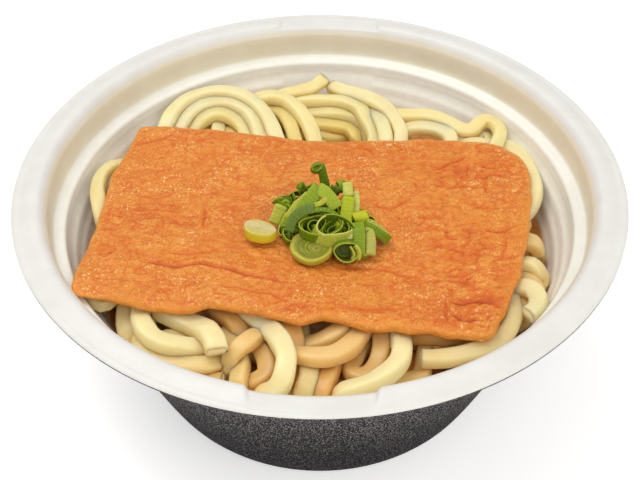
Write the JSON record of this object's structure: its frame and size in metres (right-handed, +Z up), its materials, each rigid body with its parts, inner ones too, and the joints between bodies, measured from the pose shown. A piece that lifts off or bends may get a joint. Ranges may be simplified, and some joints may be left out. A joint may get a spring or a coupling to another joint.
{
  "type": "udon noodle bowl",
  "caption": "Takeaway foam bowl of thick udon noodles in brown broth, topped with a wrinkled sheet of fried tofu and sliced green onion.",
  "frame": {"origin": "centre of the bowl's flat underside", "axes": "+Z up; +X along the long side of the tofu sheet, to the right as seen by the eater; +Y to the back of the bowl"},
  "size_m": [0.18, 0.18, 0.0766],
  "materials": {
    "foam": "satin foamed polystyrene, white inside and on the rim, speckled charcoal outside",
    "broth": "clear dark brown broth with a wet gloss",
    "noodles": "pale yellow, slightly translucent, moist",
    "fried_tofu": "orange brown wrinkled fried skin, moist",
    "green_onion": "fresh green rings with paler insides",
    "green_onion_pale": "yellow green stalk with a white cut face"
  },
  "bodies": {
    "root": {"bowl": "foam", "broth": "broth", "noodles": "noodles", "fried_tofu": "fried_tofu", "green_onion": "green_onion", "green_onion_slice": "green_onion_pale"}
  },
  "joints": []
}
